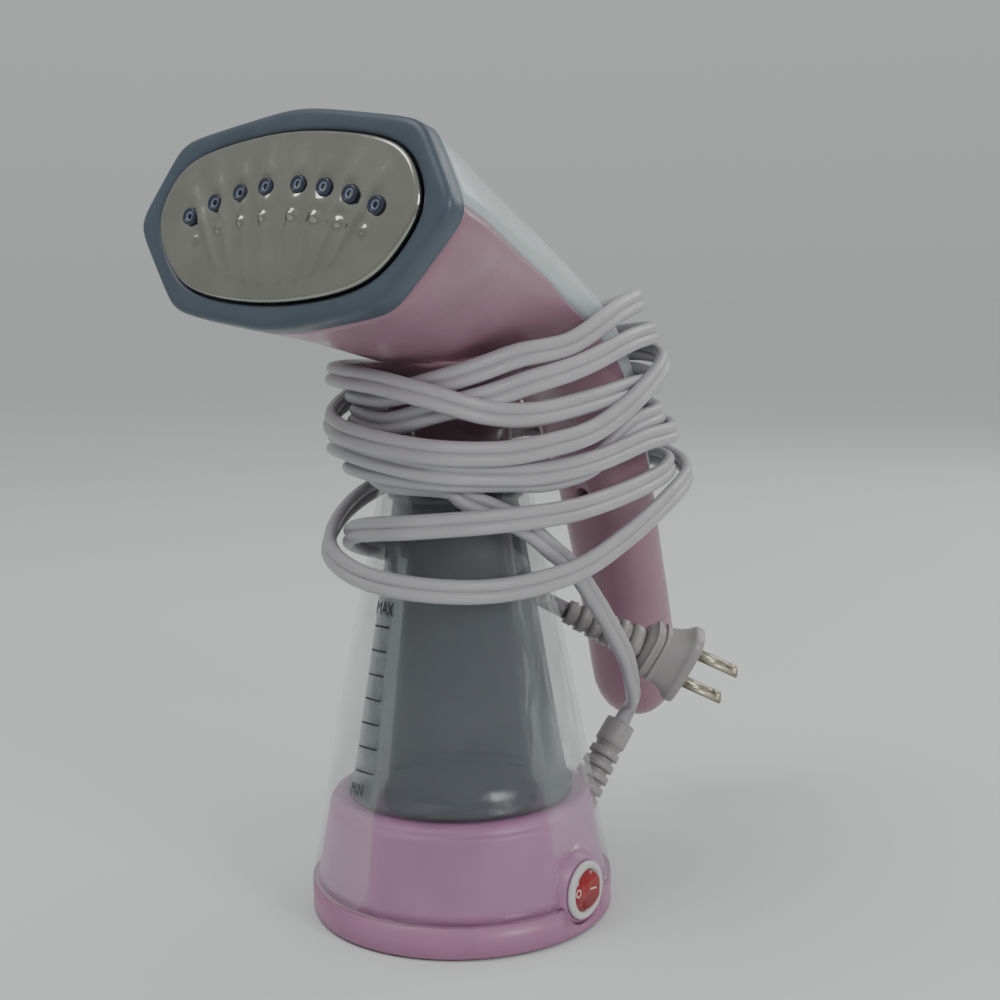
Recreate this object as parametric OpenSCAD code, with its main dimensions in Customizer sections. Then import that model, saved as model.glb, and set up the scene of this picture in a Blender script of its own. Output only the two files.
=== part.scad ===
/* [Base] */
// Diameter of the foot band
base_d = 105; // [100:0.5:112]
// Height of the foot band's upper edge
band_h = 11.4; // [10:0.2:13]
// Height of the plinth's deck, on which the tank stands
deck_h = 41.6; // [40:0.2:44]

/* [Tank and clear shell] */
// Height of the middle of the neck collar
neck_h = 147; // [145:0.5:149]
// Outer radius of the clear shell at the neck collar
neck_r = 26.3; // [26:0.1:27]
// Wall of the clear shell
shell_wall = 1.8; // [1.4:0.1:2]
// Outer radius of the water tank at its foot
tank_foot_r = 37.6; // [36:0.2:38]
// Outer radius of the water tank at its mouth
tank_mouth_r = 21.4; // [20.5:0.1:22]
// Wall of the water tank
tank_wall = 2; // [1.6:0.1:2.4]

/* [Steam head] */
// Half width of the bezel
face_half_w = 62; // [60:0.5:64]
// Backward lean of the steam plate
face_tilt = 14; // [12:0.5:16]
// Width of the bezel's front rim
rim_w = 7; // [6:0.25:8]
// Wall of the head's covers
cover_wall = 2.2; // [1.8:0.1:2.6]

/* [Switch] */
// Height of the switch's centre
switch_h = 15; // [14:0.5:16]
// Radius of the switch's flange
switch_r = 9.8; // [9:0.1:10.2]
// Full rock of the rocker
rock_deg = 18; // [14:1:20]

/* [Cord] */
// Width of the flat twin cord
cord_w = 8.1; // [7.6:0.1:8.4]
// Thickness of the flat twin cord
cord_t = 4.4; // [4:0.1:4.6]

/* [Hidden] */
$fn = 96;
gap = 0.2;
base_r = base_d/2;
foot_clear = 0.6;
shell_top = 172;

pink = "#c9a0b4";
band_pink = "#b98aa4";
clear = [0.93, 0.95, 0.96, 0.35];
smoke = [0.38, 0.41, 0.44, 0.8];
slate = "#4b5a6e";
white = "#e9e8ea";
steel = "#b4b1a8";
dark = "#2b2d31";

// ---------- profile of the clear shell ----------

// Outer radius of the clear shell at height z: a slightly bellied cone, then a straighter neck.
function shell_r(z) =
    let (s = (z - band_h)/(neck_h - band_h))
    s <= 1 ? base_r + (neck_r - base_r)*s + 2.8*s*(1 - s) : neck_r - 0.16*(z - neck_h);
function shell_line(z0, z1, inset, n) = [for (i = [0:n]) let (z = z0 + (z1 - z0)*i/n) [shell_r(z) - inset, z]];
function reversed(v) = [for (i = [len(v) - 1:-1:0]) v[i]];

// ---------- outline of the steam face ----------

function unit(v) = v/norm(v);
// Sum of a list of numbers.
function total(v) = v*[for (i = v) 1];
face_half_h = 33.5;
// Each side of the outline: outward direction in degrees from +X, and distance from the centre.
rim_sides = [[81, 33.2], [99, 33.2], [31.6, 54.3], [148.4, 54.3],
             [-38.2, 50.2], [218.2, 50.2], [-81.2, 34.2], [261.2, 34.2]];
rim_sharp = 22;
// Distance from the centre to the rounded octagon in direction t, moved inwards by inset.
function rim_r(t, inset) =
    pow(total([for (e = rim_sides) pow(max(0, cos(t - e[0])/(e[1]*face_half_w/62 - inset)), rim_sharp)]),
        -1/rim_sharp);
rim_steps = 72;
module face_outline(inset) {
    polygon([for (i = [0:rim_steps - 1]) let (t = 360*i/rim_steps) rim_r(t, inset)*[cos(t), sin(t)]]);
}
face_y = -80;
face_z = 236;
// Puts a shape drawn in the face's plane, +Z outwards, at the steam face.
module at_face() {
    translate([0, face_y, face_z]) rotate([90 - face_tilt, 0, 0]) children();
}
// A slab of the face's outline between two depths, measured outwards from the bezel's front.
module face_slab(d0, d1, inset) {
    at_face() translate([0, 0, d0]) linear_extrude(d1 - d0) face_outline(inset);
}

// ---------- loft of the head and handle ----------

// One row per section: y, z, lean, half width, height above, height below, roundness, pinch, seam height.
spine = [[-72.7, 234.2, 14, 61.2, 32.7, 32.9, 0, 0, 3],
         [-60, 231, 14, 58.6, 31.2, 32.4, 0.15, 0, 3],
         [-43, 227, 16, 52.6, 28.6, 31.5, 0.45, 0.08, 2.5],
         [-21, 221.5, 20, 44.2, 26.8, 32, 0.75, 0.22, 2.5],
         [3, 215.5, 26, 36.4, 25, 31.5, 1, 0.3, 2],
         [26, 207.5, 34, 30.4, 24, 27, 1, 0.3, 1],
         [48, 198, 43, 26.8, 23.2, 21.5, 1, 0.2, 1],
         [66, 186, 52, 23.8, 22, 18, 1, 0.1, 2],
         [80.5, 170, 62, 21, 20, 15.2, 1, 0.05, 4],
         [91, 150, 70, 18.6, 18, 16, 1, 0, 6.5],
         [99, 128, 73, 17.5, 17, 16.5, 1, 0, 8],
         [107, 102, 73.5, 17, 16.5, 16.5, 1, 0, 8],
         [114.5, 75, 74, 16.8, 16.5, 16.5, 1, 0, 8],
         [118, 57, 74, 16, 15.8, 15.8, 1, 0, 8],
         [120.7, 47.5, 74, 13, 12.8, 12.8, 1, 0, 8],
         [122, 43, 74, 8.5, 8.5, 8.5, 1, 0, 6],
         [122.6, 41, 74, 3, 3, 3, 1, 0, 2]];
loft_sides = 40;
// Smooth curve through rows b and c of a table.
function blend_row(a, b, c, d, u) =
    0.5*(2*b + (c - a)*u + (2*a - 5*b + 4*c - d)*u*u + (3*b - a - 3*c + d)*u*u*u);
function refine(v, k) = concat([for (i = [0:len(v) - 2], j = [0:k - 1])
    blend_row(v[max(i - 1, 0)], v[i], v[i + 1], v[min(i + 2, len(v) - 1)], j/k)], [v[len(v) - 1]]);
function oval_r(t, a, b, p) = pow(pow(abs(cos(t))/a, p) + pow(abs(sin(t))/b, p), -1/p);
// One point of a section: across and up in its own plane.
function section_point(r, t, wall) =
    let (a = max(r[3] - wall, 0.6), b = max((sin(t) < 0 ? r[5] : r[4]) - wall, 0.6),
         o = oval_r(t, a, b, 2.35), q = rim_r(t, 0),
         u = (1 - r[6])*q*cos(t)*a/face_half_w + r[6]*o*cos(t),
         v = (1 - r[6])*q*sin(t)*b/face_half_h + r[6]*o*sin(t),
         low = max(0, min(1, -v/b)))
    [u*(1 - r[7]*low), v];
function section_ring(r, wall) = [for (i = [0:loft_sides - 1])
    let (q = section_point(r, 360*i/loft_sides, wall))
    [q[0], r[0] + q[1]*sin(r[2]), r[1] + q[1]*cos(r[2])]];
// Closed tube of rings; every ring has the same number of points.
module skin(rings) {
    n = len(rings[0]);
    m = len(rings);
    polyhedron(
        points = [for (r = rings) each r],
        faces = concat(
            [[for (i = [n - 1:-1:0]) i]],
            [for (j = [0:m - 2], i = [0:n - 1])
                let (k = (i + 1)%n) [j*n + i, (j + 1)*n + k, (j + 1)*n + i]],
            [for (j = [0:m - 2], i = [0:n - 1])
                let (k = (i + 1)%n) [j*n + i, j*n + k, (j + 1)*n + k]],
            [[for (i = [0:n - 1]) (m - 1)*n + i]]));
}
module head_solid() {
    skin([for (r = refine(spine, 2)) section_ring(r, 0)]);
}
// The hollow: starts in front of the shell's edge and stops short of the handle's end.
module head_hollow() {
    rows = [for (i = [0:14]) spine[i]];
    front = [for (i = [0:8]) i == 0 ? rows[0][0] - 4*cos(face_tilt) : i == 1 ? rows[0][1] + 4*sin(face_tilt)
             : rows[0][i]];
    skin([for (r = refine(concat([front], rows), 2)) section_ring(r, cover_wall)]);
}
// Everything above and behind the parting line, shifted by d.
module cover_side(d) {
    line = [for (i = [0:13]) [spine[i][0] + (spine[i][8] + d)*sin(spine[i][2]),
                              spine[i][1] + (spine[i][8] + d)*cos(spine[i][2])]];
    rotate([90, 0, 90]) translate([0, 0, -80]) linear_extrude(160)
        polygon(concat([[-90, 236 + d]], line, [[160, 57 + d], [160, 300], [-90, 300]]));
}

// ---------- base ----------

module base_ring() {
    color(band_pink) difference() {
        rotate_extrude() polygon([[49.6, foot_clear], [base_r - 0.8, foot_clear], [base_r, foot_clear + 0.8],
                                  [base_r, band_h - 0.15], [46, band_h - 0.15], [46, band_h - 2.4],
                                  [49.6, band_h - 2.4]]);
        translate([0, 0, switch_h]) rotate([0, 90, 0]) cylinder(h = 60, r = 11.6);
        at_gland() translate([0, 0, -14]) cylinder(h = 20, r = 7.2);
    }
}
foot_turn = 45;
foot_ring_r = 38;
// The three screw posts: distance from the middle, and direction of the first.
post_r = 30;
post_turn = 30;
module around(n, r, turn) {
    for (i = [0:n - 1]) rotate([0, 0, turn + 360*i/n]) translate([r, 0, 0]) children();
}
module base_plate() {
    color("#8d8088") difference() {
        union() {
            translate([0, 0, foot_clear]) cylinder(h = 2.4, r = 49.3);
            cylinder(h = 3, r = 9);
        }
        around(4, foot_ring_r, foot_turn) cylinder(h = 1.8, r = 5.6);
        around(3, post_r, post_turn) translate([0, 0, -1]) cylinder(h = 5, r = 1.9);
        around(3, post_r, post_turn) cylinder(h = 1.8, r = 3.6);
        for (s = [-1, 1], i = [0:2]) translate([-14, s*(12.5 + 4.2*i) - 1, -1]) cube([28, 2, 5]);
    }
}
module rubber_feet() {
    color(dark) around(4, foot_ring_r, foot_turn) rotate_extrude()
        polygon([[0, 0], [4.9, 0], [5.4, 0.4], [5.4, 1.8], [0, 1.8]]);
}
module screw(head_r, head_h, r, length) {
    difference() {
        union() {
            cylinder(h = head_h, r = head_r);
            translate([0, 0, head_h]) cylinder(h = length, r = r);
        }
        translate([-head_r*0.62, -0.35, -0.1]) cube([head_r*1.24, 0.7, head_h*0.6]);
        translate([-0.35, -head_r*0.62, -0.1]) cube([0.7, head_r*1.24, head_h*0.6]);
    }
}
module base_screws() {
    color("#8b8d90") around(3, post_r, post_turn) translate([0, 0, 0.7]) screw(3.2, 1.1, 1.5, 12);
}
plinth_wall = 2.2;
gland_turn = 70;
gland_rise = 52;
// Distance of the cord clamp from the middle.
clamp_x = 31;
// Puts a shape along the cord gland's axis, +Z outwards, its origin in the plinth's wall.
module at_gland() {
    rotate([0, 0, gland_turn]) translate([46.5, 0, 19.5]) rotate([0, 90 - gland_rise, 0]) children();
}
module plinth() {
    fit = shell_wall + 0.3;
    color(pink) difference() {
        union() {
            difference() {
                rotate_extrude() polygon(concat([[0, band_h]], shell_line(band_h, deck_h - 3, fit, 8),
                    [for (a = [0:22.5:90]) [shell_r(deck_h) - fit - 3 + 3*cos(a), deck_h - 3 + 3*sin(a)]],
                    [[0, deck_h]]));
                translate([0, 0, -1]) rotate_extrude() polygon(concat([[0, band_h - 2]],
                    shell_line(band_h - 1.5, deck_h - 3, fit + plinth_wall, 8),
                    [[shell_r(deck_h) - fit - plinth_wall - 3, deck_h - 1.6], [0, deck_h - 1.6]]));
            }
            translate([44, 0, switch_h]) rotate([0, 90, 0]) cylinder(h = switch_x - 44.2, r = 11.3);
            around(3, post_r, post_turn) translate([0, 0, 3.2]) cylinder(h = 36, r = 3.8);
            // The seat of the cord clamp, and what ties it to the wall.
            rotate([0, 0, gland_turn]) {
                translate([clamp_x - 3, -9, 9.2]) cube([48.6 - clamp_x, 18, 2.8]);
                translate([40, -9, band_h]) cube([9.2, 18, 4]);
            }
        }
        translate([30, 0, switch_h]) rotate([0, 90, 0]) cylinder(h = 30, r = 9);
        at_gland() {
            translate([0, 0, -12]) cylinder(h = 40, r = 5.1);
            translate([0, 0, -12]) cylinder(h = 6.2, r = 6.8);
            translate([0, 0, 3.8]) cylinder(h = 20, r = 7.6);
        }
        rotate([0, 0, gland_turn]) for (s = [-1, 1]) translate([clamp_x, s*5.6, 10]) cylinder(h = 4, r = 1.3);
        translate([0, 0, 30]) cylinder(h = 20, r = 30);
        around(3, post_r, post_turn) translate([0, 0, 3]) cylinder(h = 14, r = 1.5);
    }
}
module outer_shell() {
    color(clear) difference() {
        rotate_extrude() polygon(concat(shell_line(band_h, shell_top, 0, 24),
            reversed(shell_line(band_h, shell_top, shell_wall, 24))));
        translate([40, 0, switch_h]) rotate([0, 90, 0]) cylinder(h = 20, r = 13.3);
        translate([40, -13.3, 0]) cube([20, 26.6, switch_h]);
        at_gland() translate([0, 0, -6]) cylinder(h = 30, r = 8.6);
    }
}

// ---------- water tank and heater ----------

tank_z0 = deck_h + gap;
tank_z1 = neck_h - 0.4;
rim_z0 = tank_z1 - 2.6;
module inner_tank() {
    color(smoke) rotate_extrude() polygon([
        [tank_foot_r + 1.6, tank_z0], [tank_foot_r + 1.6, tank_z0 + 2.6], [tank_foot_r, tank_z0 + 3.4],
        [tank_mouth_r, rim_z0], [tank_mouth_r - tank_wall, rim_z0],
        [tank_foot_r - tank_wall, tank_z0 + 3.4], [31.4, tank_z0 + 3.4], [31.4, tank_z0]]);
}
// The ring welded on the tank's mouth, on which the neck collar sits.
module tank_rim() {
    color(smoke) rotate_extrude() polygon([[17.2, rim_z0], [tank_mouth_r, rim_z0], [23.2, rim_z0 + 0.6],
                                           [23.2, tank_z1], [17.2, tank_z1]]);
}
module tank_seal() {
    color(dark) rotate_extrude() polygon([[27.6, deck_h + 0.4], [31.2, deck_h + 0.4], [31.2, deck_h + 3.2],
                                          [29.4, deck_h + 3.8], [27.6, deck_h + 3.2]]);
}
module boiler_plate() {
    color("#a9adb0") difference() {
        union() {
            translate([0, 0, deck_h - 6]) cylinder(h = 6.2, r = 29.6);
            translate([0, 0, deck_h - 9.8]) difference() {
                cylinder(h = 4, r = 26);
                translate([0, 0, -1]) cylinder(h = 6, r = 16);
            }
        }
        translate([0, 0, deck_h - 3]) cylinder(h = 4, r = 26.6);
        around(3, 12, 60) translate([0, 0, deck_h - 7]) cylinder(h = 3, r = 1.25);
    }
}
// Sheathed heating ring below the plate with two cold ends that turn down.
module heating_element() {
    z = deck_h - 13.2;
    color("#6d6a66") {
        rotate([0, 0, 25]) rotate_extrude(angle = 310) translate([21, z]) circle(r = 3.2);
        for (a = [25, 335]) rotate([0, 0, a]) translate([21, 0, z - 9]) cylinder(h = 9, r = 2.4);
    }
}
module thermostat() {
    color("#c9c2b0") translate([0, 0, deck_h - 16.2]) {
        cylinder(h = 10, r = 8.2);
        for (s = [-1, 1]) translate([s*5 - 1.5, -0.4, -6]) cube([3, 0.8, 6]);
    }
}
module thermal_fuse() {
    color("#d9d6cf") translate([-9, -13.5, deck_h - 20]) rotate([0, 90, 0]) {
        cylinder(h = 18, r = 2);
        translate([0, 0, -5]) cylinder(h = 28, r = 0.6);
    }
}
// A thin round wire through the listed points.
module wire(p, r) {
    q = refine(p, 3);
    skin([for (i = [0:len(q) - 1])
        let (t = unit(q[min(i + 1, len(q) - 1)] - q[max(i - 1, 0)]), n = unit(cross(t, [1, 0.3, 0])), b = cross(n, t))
        [for (a = [0:45:315]) q[i] + r*cos(a)*b - r*sin(a)*n]]);
}
module lead_wires() {
    color("#b03a35") wire([[29, -3.2, 15], [24, -9, 12], [19, -10, 14], [19, -8.9, 18.4]], 0.9);
    color("#3a6fb0") wire([[29, 3.2, 15], [22, 9, 9], [13, 20, 11], [9.3, 25.6, 13.4]], 0.9);
}
collar_z0 = tank_z1 + gap;
module neck_collar() {
    color("#3c4046") rotate_extrude() polygon([[17, collar_z0], [23.4, collar_z0], [23.8, collar_z0 + 1],
        [23.6, neck_h + 3.6], [22.6, neck_h + 4.6], [17, neck_h + 4.6]]);
}

// ---------- switch and cord entry ----------

// The switch's flange sits at switch_x; its rocker turns about an upright pin at rock_x.
switch_x = 51.2;
rock_x = 48.7;
switch_bore = 7.5;
module switch_body() {
    color(white) translate([0, 0, switch_h]) difference() {
        union() {
            translate([34, 0, 0]) rotate([0, 90, 0]) cylinder(h = switch_x - 33.9, r = 8.9);
            translate([switch_x, 0, 0]) rotate([0, 90, 0]) cylinder(h = 1.1, r = switch_r);
            translate([switch_x + 1.1, 0, 0]) rotate([0, 90, 0])
                cylinder(h = 0.7, r1 = switch_r, r2 = switch_r - 0.7);
        }
        translate([rock_x - 5.4, 0, 0]) rotate([0, 90, 0]) cylinder(h = 20, r = switch_bore);
        translate([rock_x, 0, -8.5]) cylinder(h = 17, r = 1.25);
        for (s = [-1, 1]) translate([33, s*3.2 - 1.7, -1]) cube([6, 3.4, 2]);
    }
}
module switch_terminals() {
    color("#c8a95a") for (s = [-1, 1]) translate([28, s*3.2 - 1.5, switch_h - 0.4]) cube([10.9, 3, 0.8]);
}
// The rocker rests with its off side pressed in.
module switch_rocker() {
    color("#b3202a") translate([rock_x, 0, switch_h]) rotate([0, 0, -rock_deg/2]) {
        intersection() {
            translate([-4, 0, 0]) rotate([0, 90, 0]) cylinder(h = 12, r = 6.85);
            translate([0, 0, -8]) linear_extrude(16)
                polygon([[-4, -6], [3.6, -8], [4.4, -6.2], [3.3, 0], [4.4, 6.2], [3.6, 8], [-4, 6]]);
        }
        translate([0, 0, -8.2]) cylinder(h = 16.4, r = 1.2);
    }
}
gland_len = 41;
fin_count = 5;
module strain_relief() {
    color(white) at_gland() rotate_extrude() polygon(concat(
        [[0, -9], [6.6, -9], [6.6, -6], [5, -6], [5, 4], [7.4, 4], [7.4, 6.5]],
        [for (i = [0:fin_count - 1]) let (z = 8 + i*4.6, r = 6.9 - i*0.25)
            each [[r - 1.5, z], [r, z + 0.2], [r - 0.15, z + 2.9], [r - 1.5, z + 3.1]]],
        [[5.2, gland_len - 9.6], [5.9, gland_len - 9], [5.7, gland_len], [0, gland_len]]));
}
module cord_clamp() {
    color("#5b5e63") rotate([0, 0, gland_turn]) translate([clamp_x, 0, 12]) difference() {
        translate([-3, -8, 0]) cube([6, 16, 4]);
        translate([0, 0, -3.2]) rotate([0, 90, 0]) cylinder(h = 12, r = 5, center = true);
        for (s = [-1, 1]) translate([0, s*5.6, -1]) cylinder(h = 8, r = 1.4);
    }
}
module clamp_screws() {
    color("#8b8d90") rotate([0, 0, gland_turn]) for (s = [-1, 1])
        translate([clamp_x, s*5.6, 17.6]) rotate([180, 0, 0]) screw(2.2, 1.6, 1.3, 5);
}

// ---------- steam head ----------

// The two screws that hold the cover on the handle: y and z of each, pointing out of the back.
handle_screws = [[86, 137.7], [100, 89.7]];
module at_handle_screws() {
    for (p = handle_screws) translate([0, p[0], p[1]]) rotate([-73.5, 0, 0]) children();
}
module head_shell() {
    color(pink) difference() {
        union() {
            difference() {
                head_solid();
                cover_side(0);
                head_hollow();
            }
            difference() {
                intersection() {
                    rotate_extrude() polygon([[0, shell_top + 0.3], [22.2, shell_top + 0.3], [22.8, 177],
                                              [24.4, 182], [27.6, 187], [33, 192], [41, 196], [0, 196]]);
                    union() {
                        head_solid();
                        translate([-30, -30, 160]) cube([60, 60, 31]);
                    }
                }
                cover_side(-4);
            }
            translate([0, 0, neck_h + 5.3]) cylinder(h = 22, r = 19.6);
            at_handle_screws() translate([0, 0, -6.3]) cylinder(h = 22.3, r = 3.6);
        }
        translate([0, 0, neck_h]) cylinder(h = 55, r = 17.2);
        at_handle_screws() {
            translate([0, 0, -14]) cylinder(h = 18, r = 2.9);
            cylinder(h = 20, r = 1.6);
        }
    }
}
module top_cover() {
    color("#cfd6d8") difference() {
        union() {
            difference() {
                intersection() {
                    head_solid();
                    cover_side(0.25);
                }
                head_hollow();
            }
            at_handle_screws() translate([0, 0, 16.2]) cylinder(h = 9.7, r = 3.6);
        }
        at_handle_screws() translate([0, 0, 15]) cylinder(h = 7.4, r = 1.5);
    }
}
module shell_screws() {
    color("#8b8d90") at_handle_screws() translate([0, 0, 2]) screw(2.8, 2, 1.5, 18);
}
seal_z = neck_h + 2.5;
module neck_spigot() {
    color("#7b7f86") difference() {
        union() {
            translate([0, 0, neck_h + 0.4]) cylinder(h = 30, r = 16.4);
            translate([0, 0, 176]) cylinder(h = 4, r = 17);
        }
        translate([0, 0, neck_h - 1]) cylinder(h = 40, r = 13.6);
        rotate_extrude() translate([15.7, seal_z]) circle(r = 1.2);
    }
}
module neck_seal() {
    color(dark) rotate_extrude() translate([15.7, seal_z]) circle(r = 1.15);
}
module water_baffle() {
    color("#5b5e63") difference() {
        translate([0, 0, 166]) cylinder(h = 2, r = 13.6);
        around(6, 8, 0) translate([0, 0, 165]) cylinder(h = 4, r = 2);
    }
}
// Depth of the steam chamber's back wall behind the bezel's front.
chamber_back = -24;
tube_top = [0, -12, 206];
tube_end = [0, -60, 228.5];
module steam_path(r, over) {
    translate([0, 0, 180.2 - over]) cylinder(h = 14 + over, r = r);
    hull() {
        translate([0, 0, 193]) sphere(r = r, $fn = 32);
        translate(tube_top) sphere(r = r, $fn = 32);
    }
    hull() {
        translate(tube_top) sphere(r = r, $fn = 32);
        translate(tube_end) sphere(r = r, $fn = 32);
    }
}
module steam_tube() {
    color("#7b7f86") difference() {
        union() {
            steam_path(7, 0);
            translate([0, 0, 180.2]) cylinder(h = 2.5, r = 16.8);
        }
        steam_path(5, 1);
        // What would stand in front of the steam chamber's back wall.
        face_slab(chamber_back - 0.1, 10, -30);
    }
}
module steam_chamber() {
    color("#8f9297") difference() {
        face_slab(chamber_back, -6.6, 13);
        face_slab(chamber_back + 2, -6, 15.2);
        at_face() translate([0, -3, -30]) cylinder(h = 10, r = 5);
    }
}
module plate_gasket() {
    color(dark) difference() {
        face_slab(-6.5, -4.8, 12.6);
        face_slab(-7, -4, 15.2);
    }
}
module steam_plate() {
    color(steel) difference() {
        union() {
            face_slab(0.3, 1.5, rim_w + 0.3);
            difference() {
                face_slab(-4.7, 0.4, 12.6);
                face_slab(-5, 0.3, 14);
            }
        }
        nozzles() cylinder(h = 20, r = 2.7, center = true);
    }
}
// The steam holes lie on a shallow arch, in two groups of four.
module nozzles() {
    at_face() for (s = [-1, 1], i = [0:3])
        let (x = s*(6.5 + 10.3*i)) translate([x, 8.8 - 0.0056*x*x, 0]) children();
}
module nozzle_tips() {
    color("#23283a") nozzles() difference() {
        union() {
            translate([0, 0, -6]) cylinder(h = 8.3, r = 2.6);
            translate([0, 0, -6]) cylinder(h = 6.2, r = 3.4);
        }
        translate([0, 0, -7]) cylinder(h = 12, r = 0.9);
        translate([0, 0, 1.6]) cylinder(h = 2, r = 1.7);
    }
}
module bezel() {
    color(slate) difference() {
        union() {
            face_slab(-7.3, -0.8, 0);
            face_slab(-0.9, 0, 0.9);
            face_slab(-13, -7.3, cover_wall + 1.6);
        }
        face_slab(-1.2, 1, rim_w);
        face_slab(-14, 1, rim_w + 1.9);
    }
}

// ---------- cord ----------

function mix(a, b, s) = a + (b - a)*s;
// A ring of the flat cord at p: t is its direction and out points away from the middle of the loops.
function cord_ring(p, t, w, h) =
    let (c = [-8, max(0, min(84, p[1])), p[2] - 6], o = p - c, n = unit(o - (o*t)*t), b = cross(t, n), sides = 10)
    [for (i = [0:sides - 1]) p + w/2*cos(360*i/sides)*b + h/2*sin(360*i/sides)*n];
function tube_rings(p) = [for (i = [0:len(p) - 1])
    let (t = unit(p[min(i + 1, len(p) - 1)] - p[max(i - 1, 0)])) cord_ring(p[i], t, cord_w, cord_t)];
module cord_tube(route, k) {
    color(white) skin(tube_rings(refine(route, k)));
}
// Route of the riser, from the gland up to the windings.
riser_route = [[25.1, 69, 54], [26.5, 71.2, 58.5], [28.5, 70.5, 61], [33.6, 63.6, 66.4], [38.2, 52.8, 72.6],
               [39.5, 46.5, 84], [38, 39, 95.5], [34.5, 33, 107], [31, 26, 118], [32, 11, 127],
               [31.8, -3, 136], [27, -15, 143], [22, -23, 147.4]];
// Two loose turns below the windings.
loop_route = [[-24, 108, 154], [-6, 122, 151], [14, 122, 148], [30, 108, 143], [38, 78, 136], [41, 44, 127],
              [40, 14, 120], [32, -16, 117.5], [16, -36, 119], [-6, -43, 122.5], [-26, -36, 129],
              [-37, -16, 138], [-40, 8, 145], [-38, 40, 148.5], [-31, 74, 150], [-20, 104, 150],
              [-2, 116, 149], [18, 112, 147.5], [32, 88, 146], [38, 58, 143.5], [39, 28, 141],
              [39, 4, 140.5], [31, -22, 140.5], [13, -39, 139.5], [-8, -38, 137], [-24, -28, 132.5]];
tail_route = [[-24, -28, 132.5], [-33, -14, 127.5], [-36, 4, 122], [-31, 22, 116.5], [-20, 35, 111],
              [-6, 42, 105.6], [8, 43, 101], [16, 44, 98]];
module cord_riser() { cord_tube(riser_route, 1); }
module cord_loops() { cord_tube(loop_route, 2); }
module cord_tail() { cord_tube(tail_route, 1); }
// The wound turns round neck and handle, as one closed band. Each oval: middle, half length, half width.
wrap_low = [40, 71.5, 31];
wrap_high = [28, 60, 33.5];
wrap_deep = 12;
function wrap_point(o, t, grow) = let (r = oval_r(t, o[2] + grow, o[1] + grow, 2.5)) [r*cos(t), o[0] + r*sin(t)];
function wrap_ring(t) =
    let (s = (1 + sin(t))/2, low = mix(152, 158, s), high = mix(181, 209, s))
    [for (q = [[wrap_low, low, 1], [wrap_low, low, wrap_deep - 1], [wrap_low, low + 3, wrap_deep],
               [wrap_high, high - 3, wrap_deep], [wrap_high, high, wrap_deep - 2], [wrap_high, high, 1],
               [wrap_high, high - 3, 0], [wrap_low, low + 3, 0]])
        let (a = wrap_point(q[0], t, q[2])) [a[0], a[1], q[1]]];
module cord_wraps() {
    steps = 48;
    rings = [for (i = [0:steps - 1]) wrap_ring(360*i/steps)];
    n = len(rings[0]);
    color(white) polyhedron(
        points = [for (r = rings) each r],
        faces = concat(
            [for (j = [0:steps - 1], i = [0:n - 1])
                let (a = j*n, b = ((j + 1)%steps)*n, k = (i + 1)%n) [a + i, b + k, b + i]],
            [for (j = [0:steps - 1], i = [0:n - 1])
                let (a = j*n, b = ((j + 1)%steps)*n, k = (i + 1)%n) [a + i, a + k, b + k]]));
}

// ---------- plug ----------

plug_at = [16, 44, 98];
plug_yaw = 38;
plug_drop = 26;
plug_roll = 20;
relief_len = 30;
plug_len = 19;
// Puts a shape along the plug's axis, +Z towards the blades.
module at_plug() {
    translate(plug_at) rotate([0, 90 + plug_drop, plug_yaw]) rotate([0, 0, plug_roll]) children();
}
module plug_relief() {
    color(white) at_plug() rotate_extrude() polygon(concat([[0, 0], [4.4, 0], [4.6, 3]],
        [for (i = [0:4]) let (z = 3 + i*5, r = 5.2 + i*0.35)
            each [[r - 1.2, z], [r - 1.2, z + 1.6], [r, z + 1.7], [r, z + 4.9]]],
        [[5.4, relief_len], [0, relief_len]]));
}
module plug_body() {
    color(white) at_plug() translate([0, 0, relief_len]) intersection() {
        rotate_extrude() polygon([[0, 0], [7.5, 0], [9.6, 2], [10.6, 6], [11, 10], [12, 13], [14.2, 15.4],
                                  [14.6, 16.4], [14.2, plug_len], [0, plug_len]]);
        translate([-15, -9, -1]) cube([30, 18, plug_len + 2]);
    }
}
module plug_blades() {
    color("#b9ae93") at_plug() for (s = [-1, 1]) difference() {
        translate([s*6.35 - 0.75, -3.15, relief_len + plug_len]) cube([1.5, 6.3, 17]);
        translate([s*6.35, 0, relief_len + plug_len + 12.8]) rotate([0, 90, 0])
            cylinder(h = 4, r = 1.6, center = true);
    }
}

base_ring();
base_plate();
rubber_feet();
base_screws();
plinth();
outer_shell();
inner_tank();
tank_rim();
tank_seal();
boiler_plate();
heating_element();
thermostat();
thermal_fuse();
lead_wires();
neck_collar();
switch_body();
switch_terminals();
switch_rocker();
strain_relief();
cord_clamp();
clamp_screws();
head_shell();
top_cover();
neck_spigot();
neck_seal();
steam_tube();
steam_chamber();
plate_gasket();
steam_plate();
nozzle_tips();
bezel();
shell_screws();
water_baffle();
cord_wraps();
cord_loops();
cord_riser();
cord_tail();
plug_relief();
plug_body();
plug_blades();
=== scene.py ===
import math

import bpy
import numpy as np
from mathutils import Matrix, Vector


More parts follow.
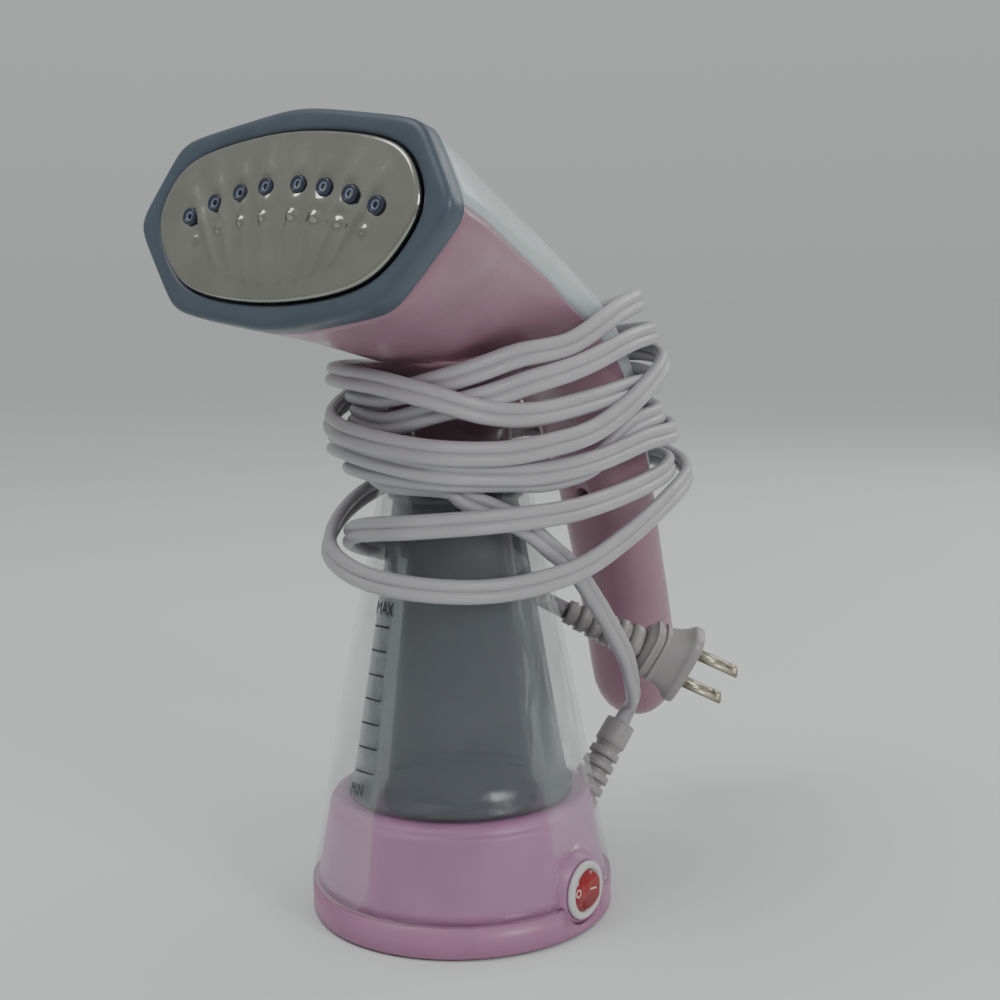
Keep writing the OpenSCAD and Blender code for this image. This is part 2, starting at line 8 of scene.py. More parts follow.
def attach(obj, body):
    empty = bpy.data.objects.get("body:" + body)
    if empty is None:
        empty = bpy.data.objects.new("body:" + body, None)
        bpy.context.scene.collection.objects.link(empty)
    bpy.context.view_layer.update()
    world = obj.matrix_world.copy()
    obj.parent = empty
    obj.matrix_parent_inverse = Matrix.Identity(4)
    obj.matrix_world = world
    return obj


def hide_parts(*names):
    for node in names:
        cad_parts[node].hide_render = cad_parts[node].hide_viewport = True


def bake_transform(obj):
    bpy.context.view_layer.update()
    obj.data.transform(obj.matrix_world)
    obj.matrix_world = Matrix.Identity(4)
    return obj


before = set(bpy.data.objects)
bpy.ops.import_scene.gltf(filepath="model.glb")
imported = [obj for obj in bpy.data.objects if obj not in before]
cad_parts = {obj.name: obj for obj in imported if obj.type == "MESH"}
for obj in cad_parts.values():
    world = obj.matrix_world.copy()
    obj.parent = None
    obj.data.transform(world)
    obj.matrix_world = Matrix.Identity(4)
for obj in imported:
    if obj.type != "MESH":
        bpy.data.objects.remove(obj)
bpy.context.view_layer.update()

MM = 0.001


# ---------- camera ----------

def add_camera():
    """A camera at the photograph's place: 510 mm out, 38 degrees round from the front, 211 mm up."""
    round_deg, distance, height = 38, 0.5101, 0.2114
    yaw, pitch, roll = 0.0298, -0.134, -0.014
    across = Vector((math.cos(math.radians(round_deg)), math.sin(math.radians(round_deg)), 0))
    away = Vector((-across.y, across.x, 0))
    forward = across * math.sin(yaw) * math.cos(pitch) + away * math.cos(yaw) * math.cos(pitch)
    forward.z = math.sin(pitch)
    right = forward.cross(Vector((0, 0, 1))).normalized()
    up = right.cross(forward)
    turned_right = math.cos(roll) * right + math.sin(roll) * up
    turned_up = math.cos(roll) * up - math.sin(roll) * right
    data = bpy.data.cameras.new("camera")
    data.lens = 54
    data.sensor_width = 36
    data.clip_start = 0.01
    camera = bpy.data.objects.new("camera", data)
    bpy.context.scene.collection.objects.link(camera)
    place = Matrix((turned_right, turned_up, -forward)).transposed().to_4x4()
    place.translation = -distance * away + Vector((0, 0, height))
    camera.matrix_world = place
    bpy.context.scene.camera = camera


# ---------- mesh helpers ----------

def mesh_object(name, points, faces, material, smooth_deg=40):
    """A mesh piece in metres with its normals facing out and its sharp edges kept."""
    mesh = bpy.data.meshes.new(name)
    mesh.from_pydata([tuple(p) for p in points], [], faces)
    mesh.validate()
    obj = bpy.data.objects.new(name, mesh)
    bpy.context.scene.collection.objects.link(obj)
    mesh.materials.append(material)
    smooth(mesh, smooth_deg)
    return obj


def smooth(mesh, degrees):
    """Smooth shading, except across edges sharper than that."""
    mesh.polygons.foreach_set("use_smooth", [True] * len(mesh.polygons))
    mesh.set_sharp_from_angle(angle=math.radians(degrees))


def loft(rings, closed_ends=True, closed_path=False):
    """Faces of a tube through rings of the same number of points, and all the points."""
    n = len(rings[0])
    m = len(rings)
    points = [p for ring in rings for p in ring]
    steps = m if closed_path else m - 1
    faces = []
    for j in range(steps):
        for i in range(n):
            k = (i + 1) % n
            after = ((j + 1) % m) * n
            faces.append((j * n + i, j * n + k, after + k, after + i))
    if closed_ends and not closed_path:
        faces.append(tuple(range(n - 1, -1, -1)))
        faces.append(tuple((m - 1) * n + i for i in range(n)))
    return points, faces


def catmull(points, steps):
    """A smooth curve through the points, with that many steps between neighbours."""
    p = np.array(points, float)
    out = []
    for i in range(len(p) - 1):
        a, b, c, d = p[max(i - 1, 0)], p[i], p[i + 1], p[min(i + 2, len(p) - 1)]
        for j in range(steps):
            u = j / steps
            out.append(0.5 * (2 * b + (c - a) * u + (2 * a - 5 * b + 4 * c - d) * u * u
                              + (3 * b - a - 3 * c + d) * u ** 3))
    out.append(p[-1])
    return np.array(out)


def respace(line, gap):
    """The same curve with its points a given gap apart."""
    step = np.linalg.norm(np.diff(line, axis=0), axis=1)
    run = np.concatenate([[0], np.cumsum(step)])
    marks = np.linspace(0, run[-1], max(2, round(run[-1] / gap) + 1))
    return np.stack([np.interp(marks, run, line[:, k]) for k in range(3)], axis=1), run[-1]


# ---------- materials ----------

def nodes_of(name):
    material = bpy.data.materials.new(name)
    material.use_nodes = True
    tree = material.node_tree
    shader = tree.nodes["Principled BSDF"]
    where = tree.nodes.new("ShaderNodeTexCoord")
    return material, tree, shader, where


def noise(tree, where, scale, detail=3):
    node = tree.nodes.new("ShaderNodeTexNoise")
    node.inputs["Scale"].default_value = scale
    node.inputs["Detail"].default_value = detail
    tree.links.new(where.outputs["Object"], node.inputs["Vector"])
    return node


def spread(tree, source, low, high):
    """Maps the middle of a noise to low..high."""
    node = tree.nodes.new("ShaderNodeMapRange")
    node.inputs["From Min"].default_value = 0.3
    node.inputs["From Max"].default_value = 0.7
    node.inputs["To Min"].default_value = low
    node.inputs["To Max"].default_value = high
    tree.links.new(source, node.inputs["Value"])
    return node.outputs["Result"]


def two_tone(tree, source, low, high):
    ramp = tree.nodes.new("ShaderNodeValToRGB")
    ramp.color_ramp.elements[0].position = 0.35
    ramp.color_ramp.elements[1].position = 0.65
    ramp.color_ramp.elements[0].color = (*low, 1)
    ramp.color_ramp.elements[1].color = (*high, 1)
    tree.links.new(source, ramp.inputs["Fac"])
    return ramp.outputs["Color"]


def bump(tree, shader, source, height):
    node = tree.nodes.new("ShaderNodeBump")
    node.inputs["Strength"].default_value = 1
    node.inputs["Distance"].default_value = height
    tree.links.new(source, node.inputs["Height"])
    tree.links.new(node.outputs["Normal"], shader.inputs["Normal"])


def plastic(name, colour, rough, vary=0.06, grain=900, grain_height=0.00002, coat=0.0, alpha=1.0):
    """Moulded plastic: a little mottled in colour, a fine grain, and handling marks in its gloss."""
    material, tree, shader, where = nodes_of(name)
    low = [c * (1 - vary) for c in colour]
    high = [min(1, c * (1 + vary)) for c in colour]
    tree.links.new(two_tone(tree, noise(tree, where, 45).outputs["Fac"], low, high),
                   shader.inputs["Base Color"])
    tree.links.new(spread(tree, noise(tree, where, 110, 5).outputs["Fac"], rough * 0.8, rough * 1.2),
                   shader.inputs["Roughness"])
    bump(tree, shader, noise(tree, where, grain, 2).outputs["Fac"], grain_height)
    shader.inputs["Coat Weight"].default_value = coat
    shader.inputs["Coat Roughness"].default_value = 0.08
    shader.inputs["Alpha"].default_value = alpha
    return material


def clear(name, tint, alpha, rough=0.03, ior=1.45):
    """Clear plastic: partly straight through, so that what is inside stays lit."""
    material, tree, shader, where = nodes_of(name)
    low = [c * 0.97 for c in tint]
    tree.links.new(two_tone(tree, noise(tree, where, 30).outputs["Fac"], low, tint),
                   shader.inputs["Base Color"])
    tree.links.new(spread(tree, noise(tree, where, 90, 4).outputs["Fac"], rough * 0.6, rough * 1.6),
                   shader.inputs["Roughness"])
    shader.inputs["Transmission Weight"].default_value = 1
    shader.inputs["IOR"].default_value = ior
    shader.inputs["Alpha"].default_value = alpha
    return material


def metal(name, colour, rough, brush=(1, 1, 1), brush_height=0.00002, vary=0.08):
    """Bare metal, drawn or brushed along one direction."""
    material, tree, shader, where = nodes_of(name)
    stretch = tree.nodes.new("ShaderNodeMapping")
    stretch.inputs["Scale"].default_value = brush
    tree.links.new(where.outputs["Object"], stretch.inputs["Vector"])
    streaks = tree.nodes.new("ShaderNodeTexNoise")
    streaks.inputs["Scale"].default_value = 260
    streaks.inputs["Detail"].default_value = 4
    tree.links.new(stretch.outputs["Vector"], streaks.inputs["Vector"])
    low = [c * (1 - vary) for c in colour]
    high = [min(1, c * (1 + vary)) for c in colour]
    tree.links.new(two_tone(tree, noise(tree, where, 60).outputs["Fac"], low, high),
                   shader.inputs["Base Color"])
    tree.links.new(spread(tree, streaks.outputs["Fac"], rough * 0.75, rough * 1.3),
                   shader.inputs["Roughness"])
    bump(tree, shader, streaks.outputs["Fac"], brush_height)
    shader.inputs["Metallic"].default_value = 1
    return material


PINK = (0.31, 0.165, 0.215)
BASE_PINK = (0.40, 0.19, 0.33)
BAND_PINK = (0.37, 0.165, 0.285)
MATERIALS = {
    "shell_pink": plastic("shell_pink", PINK, 0.34, 0.05),
    "base_pink": plastic("base_pink", BASE_PINK, 0.38, 0.05),
    "band_pink": plastic("band_pink", BAND_PINK, 0.36, 0.05),
    "plate_plastic": plastic("plate_plastic", (0.34, 0.27, 0.31), 0.5),
    "clear_plastic": clear("clear_plastic", (0.93, 0.95, 0.96), 0.22, 0.015),
    "smoke_plastic": plastic("smoke_plastic", (0.125, 0.132, 0.150), 0.18, 0.05, 300, 0.000005,
                             coat=0.4, alpha=0.66),
    "slate_plastic": plastic("slate_plastic", (0.058, 0.076, 0.104), 0.40, 0.08, 1300, 0.00003),
    "cover_plastic": plastic("cover_plastic", (0.47, 0.52, 0.52), 0.32, 0.01, 1200, 0.000008),
    "collar_plastic": plastic("collar_plastic", (0.035, 0.037, 0.042), 0.3),
    "white_plastic": plastic("white_plastic", (0.58, 0.56, 0.56), 0.35, 0.03),
    "rocker_red": plastic("rocker_red", (0.30, 0.003, 0.006), 0.18, 0.1, 500, 0.00001, 0.5),
    "nozzle_dark": plastic("nozzle_dark", (0.02, 0.025, 0.05), 0.3, 0.1),
    "rubber": plastic("rubber", (0.02, 0.02, 0.022), 0.65, 0.2, 700, 0.00004),
    "boiler_metal": metal("boiler_metal", (0.62, 0.63, 0.64), 0.4),
    "heater_sheath": metal("heater_sheath", (0.30, 0.27, 0.24), 0.45),
    "brass": metal("brass", (0.72, 0.55, 0.25), 0.3),
    "ceramic": plastic("ceramic", (0.75, 0.70, 0.60), 0.6, 0.05),
    "wire_cover": plastic("wire_cover", (0.50, 0.05, 0.05), 0.5, 0.1),
    "screw_steel": metal("screw_steel", (0.50, 0.51, 0.52), 0.35),
    "inner_plastic": plastic("inner_plastic", (0.18, 0.19, 0.21), 0.5),
    "plate_steel": metal("plate_steel", (0.32, 0.315, 0.28), 0.15, (1, 5, 1), 0.000008, 0.06),
    "cord_pvc": plastic("cord_pvc", (0.40, 0.38, 0.40), 0.42, 0.05, 700, 0.00003),
    "plug_pvc": plastic("plug_pvc", (0.33, 0.30, 0.305), 0.38, 0.04, 900, 0.00003),
    "blade_metal": metal("blade_metal", (0.50, 0.46, 0.36), 0.28, (1, 1, 6)),
    "ink": plastic("ink", (0.01, 0.01, 0.012), 0.5, 0.2),
    "nozzle_light": plastic("nozzle_light", (0.16, 0.19, 0.27), 0.3, 0.1),
    "mark_white": plastic("mark_white", (0.80, 0.72, 0.70), 0.4, 0.05),
}

# Which material each CAD node that stays visible gets.
NODE_LOOKS = {
    "shell_pink": ["head_shell"],
    "base_pink": ["plinth"],
    "band_pink": ["base_ring"],
    "plate_plastic": ["base_plate"],
    "rubber": ["rubber_feet", "tank_seal", "neck_seal", "plate_gasket"],
    "screw_steel": ["base_screws", "clamp_screws", "shell_screws"],
    "clear_plastic": ["outer_shell"],
    "smoke_plastic": ["inner_tank", "tank_rim"],
    "boiler_metal": ["boiler_plate", "steam_chamber"],
    "heater_sheath": ["heating_element"],
    "ceramic": ["thermostat", "thermal_fuse"],
    "wire_cover": ["lead_wires"],
    "collar_plastic": ["neck_collar"],
    "white_plastic": ["switch_body"],
    "brass": ["switch_terminals"],
    "rocker_red": ["switch_rocker"],
    "inner_plastic": ["cord_clamp", "neck_spigot", "steam_tube", "water_baffle"],
    "cover_plastic": ["top_cover"],
    "nozzle_dark": ["nozzle_tips"],
    "plug_pvc": ["plug_relief", "strain_relief"],
    "blade_metal": ["plug_blades"],
}


def dress_nodes():
    for look, names in NODE_LOOKS.items():
        for name in names:
            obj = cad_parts[name]
            obj.data.materials.clear()
            obj.data.materials.append(MATERIALS[look])
            weld = obj.modifiers.new("weld", "WELD")
            weld.merge_threshold = 0.000002
            if obj.data.attributes.get("custom_normal"):
                obj.data.attributes.remove(obj.data.attributes["custom_normal"])
            smooth(obj.data, 35)


# ---------- cord ----------

CORD_WIDTH = 8.1
CORD_THICKNESS = 4.4
RISER = [(23.9, 65.8, 49.2), (25.1, 69, 54), (27.5, 70.1, 59.5), (31, 65.8, 63.6), (34.8, 59.1, 67.6), (38.2, 52.8, 73),
         (39.5, 46.5, 84), (38, 39, 95.5), (34.5, 33, 107), (31, 26, 118), (32, 11, 127),
         (31.8, -3, 136), (27, -15, 143), (22, -23, 147.4)]
LOOPS = [(-24, 108, 154), (-6, 122, 151), (14, 122, 148), (30, 108, 143), (38, 78, 136), (41, 44, 127),
         (40, 14, 120), (32, -16, 117.5), (16, -36, 119), (-6, -43, 122.5), (-26, -36, 129),
         (-37, -16, 138), (-40, 8, 145), (-38, 40, 148.5), (-31, 74, 150), (-20, 104, 150),
         (-2, 116, 149), (18, 112, 147.5), (32, 88, 146), (38, 58, 143.5), (39, 28, 141),
         (39, 4, 140.5), (31, -22, 140.5), (13, -39, 139.5), (-8, -38, 137)]
TAIL = [(-24, -28, 132.5), (-33, -14, 127.5), (-36, 4, 122), (-31, 22, 116.5), (-20, 35, 111),
        (-6, 42, 105.6), (8, 43, 101), (16, 44, 98)]
# The turns wound round neck and handle. Directions round the turn, from the back by the right, the front
# and the left to the back again, and for each turn its height and its distance out at each direction.
TURN_AT = [90, 60, 30, -15, -45, -60, -75, -90, -105, -120, -135, -155, -180, -225]
TURNS = [
    [(168, 4), (168, 4), (165, 4), (154, 5), (151.5, 6), (153, 6), (154.5, 6), (156.5, 6.3), (158, 6.3),
     (156, 6), (154, 6), (154, 6), (156, 5), (160, 4)],
    [(162, 8), (161, 8), (160, 8), (156, 8.5), (154.5, 9), (155.5, 9), (157.5, 9), (161, 9), (164, 10),
     (163, 12), (159, 15), (160, 16), (168, 12), (182, 6)],
    [(190, 6), (188.5, 8), (178, 9), (167, 10), (163.5, 11), (162.5, 11.5), (164, 12), (167, 12), (170, 11),
     (173, 11), (178, 10), (184, 9), (190, 7), (198, 5)],
    [(206, 4), (210, 3), (206, 3), (196, 3), (193, 3), (189, 3), (184.5, 3), (181, 3), (181.5, 3),
     (181, 3), (180, 3), (180, 3), (184, 3), (190, 3)],
    [(196, 5), (198, 6), (196, 6.5), (188.5, 6), (184, 5.5), (180, 5), (176, 4), (171.5, 3), (173, 3),
     (173, 3), (172.5, 3), (172.5, 3), (174, 3), (178, 4)],
    [(182, 5), (180, 5), (179, 5), (176, 6), (174, 7), (175.5, 8), (181.5, 8.5), (185.5, 9), (187, 9),
     (187, 8.5), (187, 7), (185, 6), (178, 5), (166, 6)],
]
OVAL_LOW = (40, 71.5, 31)
OVAL_HIGH = (28, 60, 33.5)


def oval_radius(turn, half_x, half_y):
    """Distance from the middle to a squarish oval in a direction."""
    power = 2.5
    return ((abs(math.cos(turn)) / half_x) ** power + (abs(math.sin(turn)) / half_y) ** power) ** (-1 / power)


def wound_point(degrees, height, out):
    """A point of the winding: the turns lie on a band whose lower edge is further back than its upper one."""
    turn = math.radians(degrees)
    share = (1 + math.sin(turn)) / 2
    low = 152 + 6 * share
    high = 181 + 28 * share
    rise = (height - low) / (high - low)
    middle, half_y, half_x = (a + (b - a) * rise for a, b in zip(OVAL_LOW, OVAL_HIGH))
    radius = oval_radius(turn, half_x + out, half_y + out)
    return (radius * math.cos(turn), middle + radius * math.sin(turn), height)


def cord_line():
    """The whole centreline in millimetres, from the gland to the plug."""
    joining = [wound_point(a, z, out) for a, z, out in
               [(-75, 151.5, 2), (-90, 153, 2.2), (-120, 153, 2.2), (-150, 153, 2.5), (-180, 156, 2.5),
                (-225, 162, 3)]]
    wound = [wound_point(a, z, out) for turn in TURNS for a, (z, out) in zip(TURN_AT, turn)]
    return respace(catmull(RISER + joining + wound + LOOPS + TAIL, 12), 2.4)


def cord_profile():
    """Outline of the flat twin cord: two round conductors with a groove between them."""
    lobe = CORD_THICKNESS / 2
    offset = CORD_WIDTH / 2 - lobe
    right = [(offset + lobe * math.cos(a), lobe * math.sin(a)) for a in np.radians(np.linspace(-118, 118, 11))]
    left = [(-x, -y) for x, y in right]
    groove = 1.05
    return right + [(0, groove)] + left + [(0, -groove)]


def sweep_cord(line):
    """The cord's mesh, its flat side facing away from the middle of the loops."""
    profile = cord_profile()
    tangent = np.gradient(line, axis=0)
    tangent /= np.linalg.norm(tangent, axis=1)[:, None]
    facing = []
    for p, t in zip(line, tangent):
        middle = np.array([-8, np.clip(p[1], 0, 84), p[2] - 6])
        out = p - middle
        out -= t * (out @ t)
        facing.append(out / np.linalg.norm(out))
    facing = np.array(facing)
    for _ in range(12):
        facing[1:-1] = (facing[:-2] + facing[1:-1] * 2 + facing[2:]) / 4
        facing -= tangent * np.sum(facing * tangent, axis=1)[:, None]
        facing /= np.linalg.norm(facing, axis=1)[:, None]
    across = np.cross(tangent, facing)
    rings = [[(p + b * u + n * v) * MM for u, v in profile] for p, b, n in zip(line, across, facing)]
    return loft(rings)


def add_cord():
    line, length = cord_line()
    points, faces = sweep_cord(line)
    cord = mesh_object("mains_cord", points, faces, MATERIALS["cord_pvc"], 60)
    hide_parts("cord_riser", "cord_wraps", "cord_loops", "cord_tail")
    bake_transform(cord)


# ---------- steam face ----------

FACE = Vector((0, -0.080, 0.236))
FACE_TILT = math.radians(14)
RIM_SIDES = [(81, 33.2), (99, 33.2), (31.6, 54.3), (148.4, 54.3),
             (-38.2, 50.2), (218.2, 50.2), (-81.2, 34.2), (261.2, 34.2)]
RIM_SHARP = 22
# The plate inside the bezel has rounder corners.
PLATE_SHARP = 9
NOZZLES = [(s * (6.5 + 10.3 * i), 8.8 - 0.0056 * (6.5 + 10.3 * i) ** 2) for s in (-1, 1) for i in range(4)]


def rim_radius(turn, inset, sharp=RIM_SHARP):
    """Distance from the face's centre to its rounded octagon, moved inwards by inset, in millimetres."""
    total = 0
    for direction, distance in RIM_SIDES:
        total += max(0, math.cos(turn - math.radians(direction)) / (distance - inset)) ** sharp
    return total ** (-1 / sharp)


def on_face(x, v, depth):
    """A point of the face's own plane, in metres: x across, v up the plate, depth outwards."""
    c, s = math.cos(FACE_TILT), math.sin(FACE_TILT)
    return FACE + MM * Vector((x, v * s - depth * c, v * c + depth * s))


def rim_ring(inset, depth, steps, sharp=RIM_SHARP):
    out = []
    for i in range(steps):
        turn = 2 * math.pi * i / steps
        r = rim_radius(turn, inset, sharp)
        out.append(on_face(r * math.cos(turn), r * math.sin(turn), depth))
    return out


def add_bezel():
    """The bezel with rounded lips: a profile of inset and depth carried round the outline."""
    outside = [(3.8, -13), (3.8, -7.4), (0.25, -7.3), (0, -7.0), (0, -1.9), (0.15, -1.1), (0.6, -0.45), (1.3, -0.08),
               (2.4, 0.0)]
    inside = [(4.6, -0.1), (5.4, -0.3), (5.85, -0.75), (6.0, -1.4), (6.0, -2.2), (7.9, -2.4), (7.9, -13)]
    rings = [rim_ring(inset, depth, 180) for inset, depth in outside]
    rings += [rim_ring(inset, depth, 180, PLATE_SHARP) for inset, depth in inside]
    points, faces = loft(rings, closed_path=True)
    bezel = mesh_object("bezel_moulding", points, faces, MATERIALS["slate_plastic"], 50)
    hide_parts("bezel")
    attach(bezel, "head")


def bell(d, width):
    return math.exp(-(d / width) ** 2)


def plate_height(x, v, rho):
    """Height of the pressed plate above the bezel's front, in millimetres."""
    height = 1.3 + 0.5 * (1 - rho * rho)
    for nx, nv in NOZZLES:
        low = np.array((0.62 * nx, -20 + 0.0033 * nx * nx))
        high = np.array((nx * 1.06, nv + 11.5))
        axis = high - low
        reach = float(np.dot((x, v) - low, axis) / np.dot(axis, axis))
        u = min(1, max(0, reach))
        away = math.hypot(*((x, v) - (low + u * axis)))
        width = 0.9 + 1.8 * u
        end = min(1, max(0, (reach - 0.8) / 0.3))
        height += 1.0 * bell(away, width) * min(1, 0.3 + 1.2 * u) * (1 - end * end * (3 - 2 * end))
        dx, dv = nx * 0.9, -0.4 - 0.005 * (nx * 0.9) ** 2
        height += 1.6 * bell(math.hypot(x - dx, v - dv), 1.35)
        height -= 0.5 * bell(math.hypot(x - dx, v - dv), 2.3)
    for nx, nv in NOZZLES:
        seat = bell(math.hypot(x - nx, v - nv) / 3.5, 1) ** 2
        height += (0.8 - height) * seat
    return height


def add_plate():
    """The pressed steel plate: a fan of flutes, a dimple under each nozzle, and a rolled edge."""
    steps, rings_n = 216, 60
    inset = 6.35
    edge = [(1.3, -4.7), (0, -3.6), (0, 0.1), (0.12, 0.6), (0.5, 1.1)]
    rings = [rim_ring(inset + more, depth, steps, PLATE_SHARP) for more, depth in edge]
    for j in range(rings_n):
        rho = 1 - (j + 0.35) / (rings_n + 0.35)
        ring = []
        for i in range(steps):
            turn = 2 * math.pi * i / steps
            r = (rim_radius(turn, inset, PLATE_SHARP) - 0.9) * rho
            x, v = r * math.cos(turn), r * math.sin(turn)
            ring.append(on_face(x, v, plate_height(x, v, rho)))
        rings.append(ring)
    points, faces = loft(rings)
    plate = mesh_object("steam_plate_pressing", points, faces, MATERIALS["plate_steel"], 60)
    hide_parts("steam_plate")
    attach(plate, "head")


def add_nozzle_rims():
    """The lighter ring round each steam hole."""
    section = [(0.95, 1.55), (0.95, 1.95), (1.15, 2.1), (1.5, 2.1), (1.68, 1.95), (1.68, 1.55)]
    points, faces = [], []
    for nx, nv in NOZZLES:
        rings = []
        for i in range(28):
            a = 2 * math.pi * i / 28
            rings.append([on_face(nx + r * math.cos(a), nv + r * math.sin(a), depth) for r, depth in section])
        more, links = loft(rings, closed_path=True)
        faces += [tuple(i + len(points) for i in face) for face in links]
        points += more
    rims = mesh_object("nozzle_rims", points, faces, MATERIALS["nozzle_light"])
    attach(rims, "head")


# ---------- plug ----------

def add_plug():
    """The plug's moulding: flattened sections that widen to the flange, with two grip ridges."""
    sections = [(0, 6.9, 5.8), (0.8, 8.2, 6.7), (2.4, 9.0, 7.1), (2.8, 10.1, 7.9), (4.2, 10.3, 8.0), (4.6, 9.3, 7.3),
                (5.8, 9.4, 7.3), (6.2, 10.6, 8.1), (7.6, 10.8, 8.1), (8.1, 10.0, 7.5), (11, 10.9, 7.8),
                (13.6, 12.4, 8.2), (15.0, 13.7, 8.5), (15.5, 14.3, 8.8), (16.0, 14.5, 8.95), (18.4, 14.5, 8.95),
                (18.9, 14.2, 8.7), (19, 13.6, 8.2)]
    yaw, drop, roll = 38, 116, 20
    relief_length = 30
    flatness = 0.55
    turn = (Matrix.Rotation(math.radians(yaw), 4, "Z") @ Matrix.Rotation(math.radians(drop), 4, "Y")
            @ Matrix.Rotation(math.radians(roll), 4, "Z"))
    place = Matrix.Translation(TAIL[-1]) @ turn
    rings = []
    for along, wide, thick in sections:
        ring = []
        for i in range(48):
            a = 2 * math.pi * i / 48
            c, n = math.cos(a), math.sin(a)
            ring.append(place @ Vector((wide * math.copysign(abs(c) ** flatness, c),
                                        thick * math.copysign(abs(n) ** flatness, n),
                                        relief_length + along)) * MM)
        rings.append(ring)
    points, faces = loft(rings)
    plug = mesh_object("plug_moulding", points, faces, MATERIALS["plug_pvc"], 50)
    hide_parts("plug_body")
    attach(plug, "head")


# ---------- marks ----------

def shell_radius(z):
    """Outer radius of the clear shell, in millimetres."""
    s = (z - 11.4) / (147 - 11.4)
    return 52.5 + (26.3 - 52.5) * s + 2.8 * s * (1 - s)


def on_shell(degrees, z, lift):
    r = shell_radius(z) + lift
    a = math.radians(degrees)
    return Vector((r * math.cos(a), r * math.sin(a), z)) * MM


def add_level_marks():
    """Seven level ticks between MAX and MIN, printed on the clear shell."""
    points, faces = [], []
    for k in range(7):
        z = 104.5 - 7.9 * k
        start = len(points)
        for lift in (0.02, 0.14):
            for height in (-0.28, 0.28):
                points += [on_shell(-103 + 11 * i / 6, z + height, lift) for i in range(7)]
        low_in, high_in, low_out, high_out = (start + 7 * q for q in range(4))
        for i in range(6):
            faces.append((low_out + i, low_out + i + 1, high_out + i + 1, high_out + i))
            faces.append((low_in + i, high_in + i, high_in + i + 1, low_in + i + 1))
            faces.append((high_out + i, high_out + i + 1, high_in + i + 1, high_in + i))
            faces.append((low_in + i, low_in + i + 1, low_out + i + 1, low_out + i))
        faces.append((low_in, low_out, high_out, high_in))
        faces.append((low_in + 6, high_in + 6, high_out + 6, low_out + 6))
    ticks = mesh_object("level_ticks", points, faces, MATERIALS["ink"], 30)
    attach(ticks, "root")
    add_word("level_word_high", "MAX", -104, 108.4, 4.6)
    add_word("level_word_low", "MIN", -105, 49.0, 4.2)


def add_word(name, word, degrees, z, height):
    """A printed word bent round the shell, starting in the given direction."""
    curve = bpy.data.curves.new(name, "FONT")
    curve.body = word
    curve.size = height * 1.35
    curve.extrude = 0.06
    holder = bpy.data.objects.new(name + "_flat", curve)
    bpy.context.scene.collection.objects.link(holder)
    bpy.context.view_layer.update()
    flat = bpy.data.meshes.new_from_object(holder.evaluated_get(bpy.context.evaluated_depsgraph_get()))
    bpy.data.objects.remove(holder)
    narrow = 0.62
    for v in flat.vertices:
        turn = degrees + math.degrees(v.co.x * narrow / shell_radius(z))
        v.co = on_shell(turn, z + v.co.y, 0.08 + v.co.z)
    piece = bpy.data.objects.new(name, flat)
    bpy.context.scene.collection.objects.link(piece)
    flat.materials.append(MATERIALS["ink"])
    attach(piece, "root")


def add_rocker_marks():
    """The ring and the bar on the two halves of the rocker."""
    hinge = Vector((0.0487, 0, 0.015))
    rest = math.radians(-9)
    slope = math.atan2(1.1, 6.2)

    def on_rocker(side, along, up, lift):
        x = 3.3 + along * math.tan(slope) + lift
        y = side * along
        turned_x = x * math.cos(rest) - y * math.sin(rest)
        turned_y = x * math.sin(rest) + y * math.cos(rest)
        return hinge + MM * Vector((turned_x, turned_y, up))

    rings = []
    for i in range(32):
        a = 2 * math.pi * i / 32
        ring = []
        for radius, lift in ((1.05, -0.1), (1.05, 0.12), (1.45, 0.12), (1.45, -0.1)):
            ring.append(on_rocker(-1, 3.6 + radius * math.cos(a), radius * math.sin(a), lift))
        rings.append(ring)
    points, faces = loft(rings, closed_path=True)
    ring_mark = mesh_object("rocker_ring_mark", points, faces, MATERIALS["mark_white"])
    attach(ring_mark, "rocker")
    corners = [(2.5, -0.22), (4.9, -0.22), (4.9, 0.22), (2.5, 0.22)]
    rings = [[on_rocker(1, y, z, lift) for y, z in corners] for lift in (-0.1, 0.12)]
    points, faces = loft(rings)
    bar_mark = mesh_object("rocker_bar_mark", points, faces, MATERIALS["mark_white"])
    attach(bar_mark, "rocker")


# ---------- stage ----------

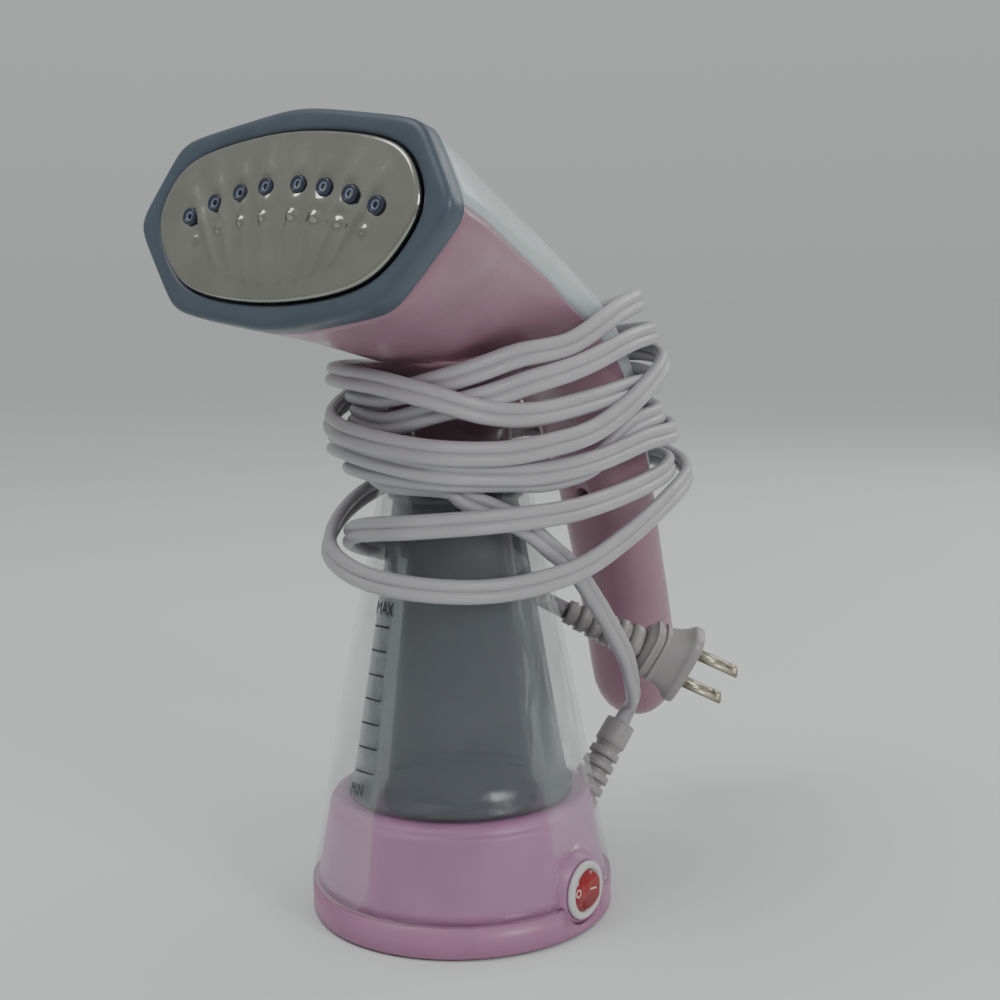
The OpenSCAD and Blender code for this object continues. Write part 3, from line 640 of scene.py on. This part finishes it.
def add_stage():
    """A pale floor and a world that has the floor's tone at the horizon and brightens upwards."""
    material, tree, shader, where = nodes_of("floor")
    tree.links.new(two_tone(tree, noise(tree, where, 3).outputs["Fac"], (0.72, 0.75, 0.74), (0.73, 0.76, 0.75)),
                   shader.inputs["Base Color"])
    shader.inputs["Roughness"].default_value = 0.7
    shader.inputs["Specular IOR Level"].default_value = 0.1
    half = 40
    floor = mesh_object("floor", [(-half, -half, 0), (half, -half, 0), (half, half, 0), (-half, half, 0)],
                        [(0, 1, 2, 3)], material)
    world = bpy.data.worlds.new("world")
    bpy.context.scene.world = world
    world.use_nodes = True
    links = world.node_tree.links
    direction = world.node_tree.nodes.new("ShaderNodeTexCoord")
    parts = world.node_tree.nodes.new("ShaderNodeSeparateXYZ")
    ramp = world.node_tree.nodes.new("ShaderNodeValToRGB")
    ramp.color_ramp.elements[0].position = 0.02
    ramp.color_ramp.elements[0].color = (0.655, 0.695, 0.675, 1)
    ramp.color_ramp.elements[1].position = 0.5
    ramp.color_ramp.elements[1].color = (0.86, 0.90, 0.88, 1)
    links.new(direction.outputs["Generated"], parts.inputs["Vector"])
    links.new(parts.outputs["Z"], ramp.inputs["Fac"])
    background = world.node_tree.nodes["Background"]
    links.new(ramp.outputs["Color"], background.inputs["Color"])
    background.inputs["Strength"].default_value = 0.60
    add_softbox("key", (-0.35, -0.7, 1.5), 0.8, 8)
    add_softbox("side", (1.3, -0.25, 0.7), 0.4, 6)
    add_softbox("back", (0.3, 1.3, 0.9), 0.8, 5)


def add_softbox(name, place, size, power):
    """A square soft light that looks at the middle of the object."""
    data = bpy.data.lights.new(name, "AREA")
    data.size = size
    data.energy = power
    light = bpy.data.objects.new(name, data)
    light.location = place
    aim = Vector((0, 0.01, 0.13)) - Vector(place)
    light.rotation_euler = aim.to_track_quat("-Z", "Y").to_euler()
    bpy.context.scene.collection.objects.link(light)


add_camera()
add_plug()
add_cord()
dress_nodes()
add_bezel()
add_plate()
add_nozzle_rims()
add_level_marks()
add_rocker_marks()
add_stage()
